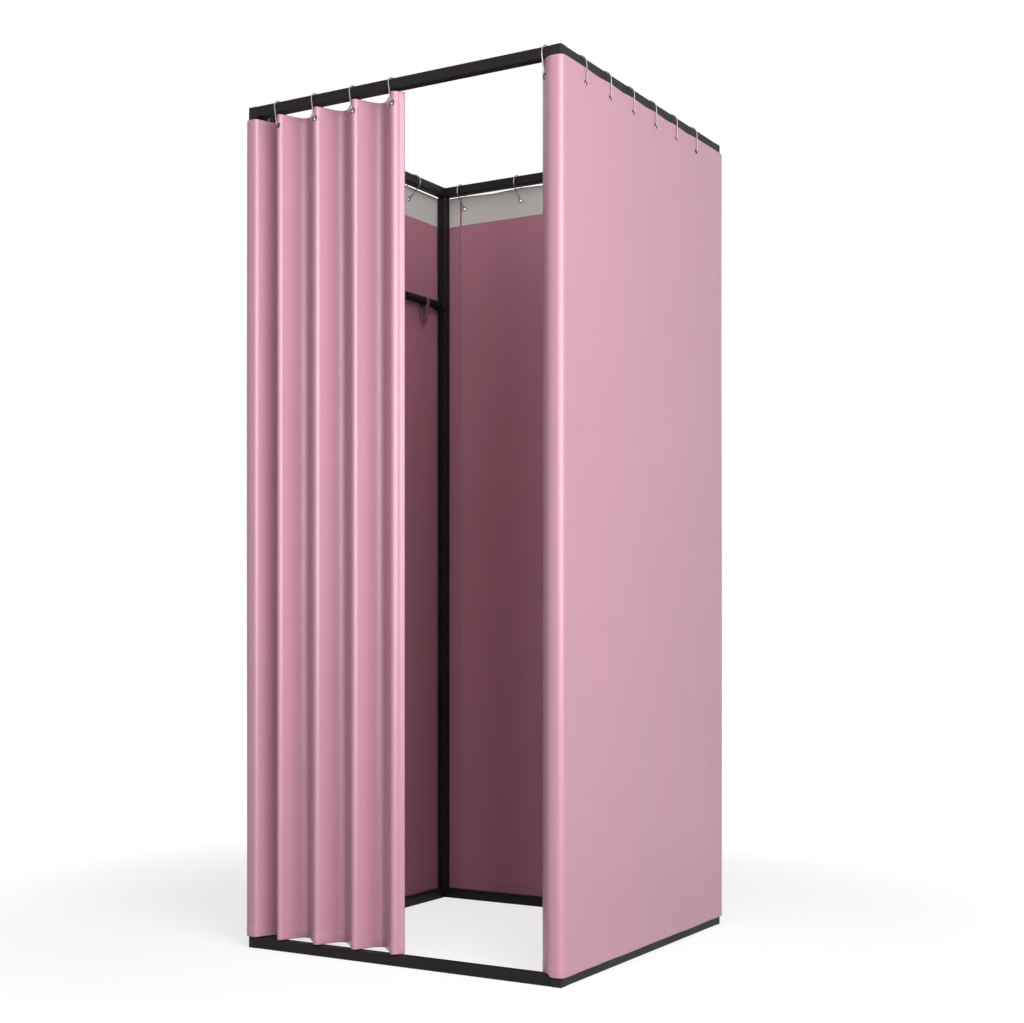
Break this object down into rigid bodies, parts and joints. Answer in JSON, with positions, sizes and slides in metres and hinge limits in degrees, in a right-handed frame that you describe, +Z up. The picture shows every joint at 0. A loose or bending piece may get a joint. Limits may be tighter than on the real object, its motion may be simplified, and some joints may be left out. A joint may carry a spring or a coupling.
{
  "type": "portable fitting room",
  "caption": "Free-standing square fitting room: a tube frame with curtains hung on wire rings, a front curtain that slides along its rail, and an inner clothes rail.",
  "frame": {"origin": "centre of the square footprint, on the floor", "axes": "+Z up, the doorway faces -Y, +X to the right as seen from the front; the clothes rail runs along Y on the -X side"},
  "size_m": [0.8726, 0.8726, 2.0059],
  "materials": {
    "frame_paint": "satin black powder coat",
    "connector_plastic": "matte black",
    "ring_wire": "bright wire",
    "strap_metal": "satin",
    "curtain_cloth": "soft sheen"
  },
  "bodies": {
    "frame": {"base_rail_front": "frame_paint", "base_rail_back": "frame_paint", "base_rail_left": "frame_paint", "base_rail_right": "frame_paint", "top_rail_front": "frame_paint", "top_rail_back": "frame_paint", "top_rail_left": "frame_paint", "top_rail_right": "frame_paint", "lower_post_front_left": "frame_paint", "lower_post_front_right": "frame_paint", "lower_post_back_right": "frame_paint", "lower_post_back_left": "frame_paint", "upper_post_front_left": "frame_paint", "upper_post_front_right": "frame_paint", "upper_post_back_right": "frame_paint", "upper_post_back_left": "frame_paint", "clothes_rail": "frame_paint", "base_corner_front_left": "connector_plastic", "base_corner_front_right": "connector_plastic", "base_corner_back_right": "connector_plastic", "base_corner_back_left": "connector_plastic", "top_corner_front_left": "connector_plastic", "top_corner_front_right": "connector_plastic", "top_corner_back_right": "connector_plastic", "top_corner_back_left": "connector_plastic", "post_joiner_front_left": "connector_plastic", "post_joiner_front_right": "connector_plastic", "post_joiner_back_right": "connector_plastic", "post_joiner_back_left": "connector_plastic", "rail_socket_front": "connector_plastic", "rail_socket_back": "connector_plastic", "right_ring_1": "ring_wire", "right_ring_2": "ring_wire", "right_ring_3": "ring_wire", "right_ring_4": "ring_wire", "right_ring_5": "ring_wire", "right_ring_6": "ring_wire", "back_ring_1": "ring_wire", "back_ring_2": "ring_wire", "back_ring_3": "ring_wire", "back_ring_4": "ring_wire", "back_ring_5": "ring_wire", "left_ring_1": "ring_wire", "left_ring_2": "ring_wire", "left_ring_3": "ring_wire", "left_ring_4": "ring_wire", "door_end_ring": "ring_wire", "front_ring": "ring_wire", "right_curtain": "curtain_cloth", "back_curtain": "curtain_cloth", "left_curtain": "curtain_cloth"},
    "door_lead": {"door_ring_4": "ring_wire", "door_curtain": "curtain_cloth"},
    "door_ring_1_body": {"door_ring_1": "ring_wire"},
    "door_ring_2_body": {"door_ring_2": "ring_wire"},
    "door_ring_3_body": {"door_ring_3": "ring_wire"},
    "garment_loop_body": {"garment_loop": "strap_metal"}
  },
  "joints": [
    {"name": "door_slide", "type": "slide", "parent": "frame", "child": "door_lead", "axis": [1, 0, 0], "range_m": [-0.18, 0.328], "deforming": ["door_curtain"]},
    {"name": "door_ring_1_slide", "type": "slide", "parent": "frame", "child": "door_ring_1_body", "axis": [1, 0, 0], "range_m": [-0.0151, 0.0272]},
    {"name": "door_ring_2_slide", "type": "slide", "parent": "frame", "child": "door_ring_2_body", "axis": [1, 0, 0], "range_m": [-0.0771, 0.14]},
    {"name": "door_ring_3_slide", "type": "slide", "parent": "frame", "child": "door_ring_3_body", "axis": [1, 0, 0], "range_m": [-0.1472, 0.2678]},
    {"name": "garment_loop_slide", "type": "slide", "parent": "frame", "child": "garment_loop_body", "axis": [0, 1, 0], "range_m": [-0.682, 0.058]}
  ],
  "couplings": [
    {"joint": "door_ring_1_slide", "follows": "door_slide", "ratio": 0.0813},
    {"joint": "door_ring_2_slide", "follows": "door_slide", "ratio": 0.4254},
    {"joint": "door_ring_3_slide", "follows": "door_slide", "ratio": 0.8148}
  ]
}
